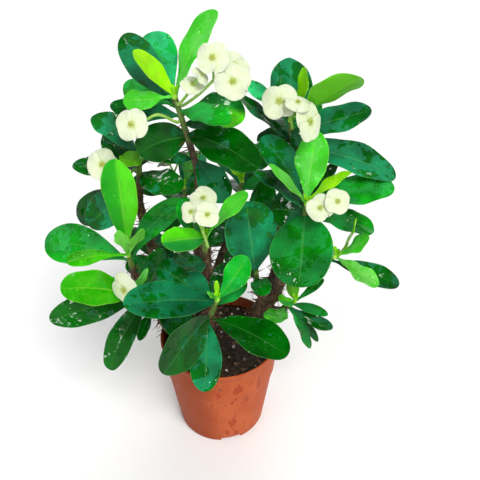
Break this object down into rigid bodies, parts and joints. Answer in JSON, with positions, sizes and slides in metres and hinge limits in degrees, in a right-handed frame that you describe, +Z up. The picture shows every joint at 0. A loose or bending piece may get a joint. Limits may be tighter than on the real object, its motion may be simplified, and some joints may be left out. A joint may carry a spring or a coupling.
{
  "type": "potted euphorbia",
  "caption": "Crown-of-thorns euphorbia with thorny branching stems, glossy leaves and pale paired bracts, growing in a round terracotta-coloured nursery pot.",
  "frame": {"origin": "middle of the pot's underside, in the plane of the surface that it stands on", "axes": "+Z up the pot's axis; the plant's front, with most of its blooms, faces -Y; +X to the right seen from the front"},
  "size_m": [0.3308, 0.2386, 0.4418],
  "materials": {
    "pot_plastic": "thin injection-moulded polypropylene, terracotta orange, satin, with damp darker patches",
    "potting_mix": "moist dark peat and bark mix with white perlite grains",
    "stem_bark": "rough brown-grey bark with thin dark thorns",
    "grown_leaf": "thick dark green leaf, wet and glossy in patches, with a pale midrib and margin",
    "young_leaf": "thin bright yellow-green leaf, satin, with small drops of water",
    "bract": "soft cream-yellow bracts with a small yellow-green cup in the middle"
  },
  "bodies": {
    "root": {"pot": "pot_plastic", "soil": "potting_mix", "leaves_crown_left": "grown_leaf", "tips_crown_left": "young_leaf", "leaves_upper_left": "grown_leaf", "tips_upper_left": "young_leaf", "leaves_side_left": "grown_leaf", "tips_side_left": "young_leaf", "leaves_low_left": "grown_leaf", "tips_low_left": "young_leaf", "leaves_low_front": "grown_leaf", "tips_low_front": "young_leaf", "leaves_mid_front": "grown_leaf", "tips_mid_front": "young_leaf", "leaves_mid_right": "grown_leaf", "leaves_side_right": "grown_leaf", "tips_side_right": "young_leaf", "leaves_crown_right": "grown_leaf", "tips_crown_right": "young_leaf", "leaves_far_right": "grown_leaf", "tips_far_right": "young_leaf", "leaves_low_right": "grown_leaf", "tips_low_right": "young_leaf", "leaves_back_upper_left": "grown_leaf", "tips_back_upper_left": "young_leaf", "leaves_back_upper_mid": "grown_leaf", "tips_back_upper_mid": "young_leaf", "leaves_back_right": "grown_leaf", "tips_back_right": "young_leaf", "leaves_back_low_left": "grown_leaf", "tips_back_low_left": "young_leaf", "leaves_back_low_mid": "grown_leaf", "tips_back_low_mid": "young_leaf", "leaves_back_low_right": "grown_leaf", "tips_back_low_right": "young_leaf", "bloom_crown_far_left": "bract", "bloom_crown_bud": "bract", "bloom_crown_cluster": "bract", "bloom_upper_left": "bract", "bloom_low_left": "bract", "bloom_mid_front": "bract", "bloom_side_right": "bract", "bloom_crown_right": "bract", "bloom_back_left": "bract", "bloom_back_right": "bract", "trunk_left": "stem_bark", "trunk_middle": "stem_bark", "trunk_right": "stem_bark"}
  },
  "joints": []
}
